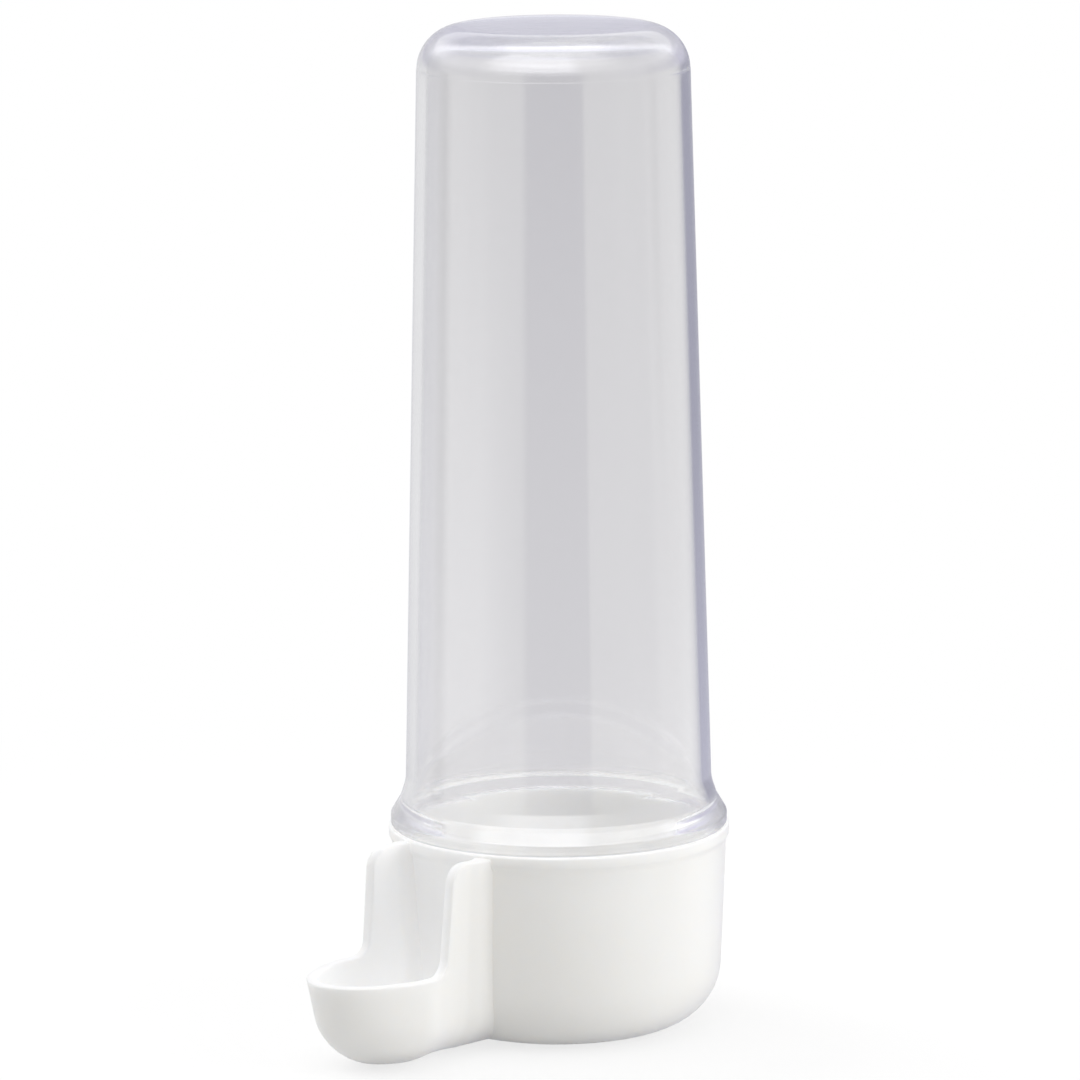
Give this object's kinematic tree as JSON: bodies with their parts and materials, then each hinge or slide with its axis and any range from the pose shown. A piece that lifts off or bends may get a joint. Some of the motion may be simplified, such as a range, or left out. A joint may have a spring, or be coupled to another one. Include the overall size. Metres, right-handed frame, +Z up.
{
  "type": "bird waterer",
  "caption": "Gravity drinker for cage birds: a clear domed water tube that plugs mouth down into a round white base with a moulded drinking spout.",
  "frame": {"origin": "on the tube's axis, in the middle of the base's flat underside", "axes": "+Z up along the tube, -Y along the drinking spout"},
  "size_m": [0.0577, 0.085, 0.17],
  "materials": {
    "white_plastic": "injection moulded, soft gloss",
    "clear_plastic": "injection moulded, clear and polished"
  },
  "bodies": {
    "base": {"spout_base": "white_plastic"},
    "tube": {"reservoir_tube": "clear_plastic"}
  },
  "joints": [
    {"name": "tube_lift", "type": "slide", "parent": "base", "child": "tube", "axis": [0, 0, 1], "range_m": [0, 0.03]}
  ]
}
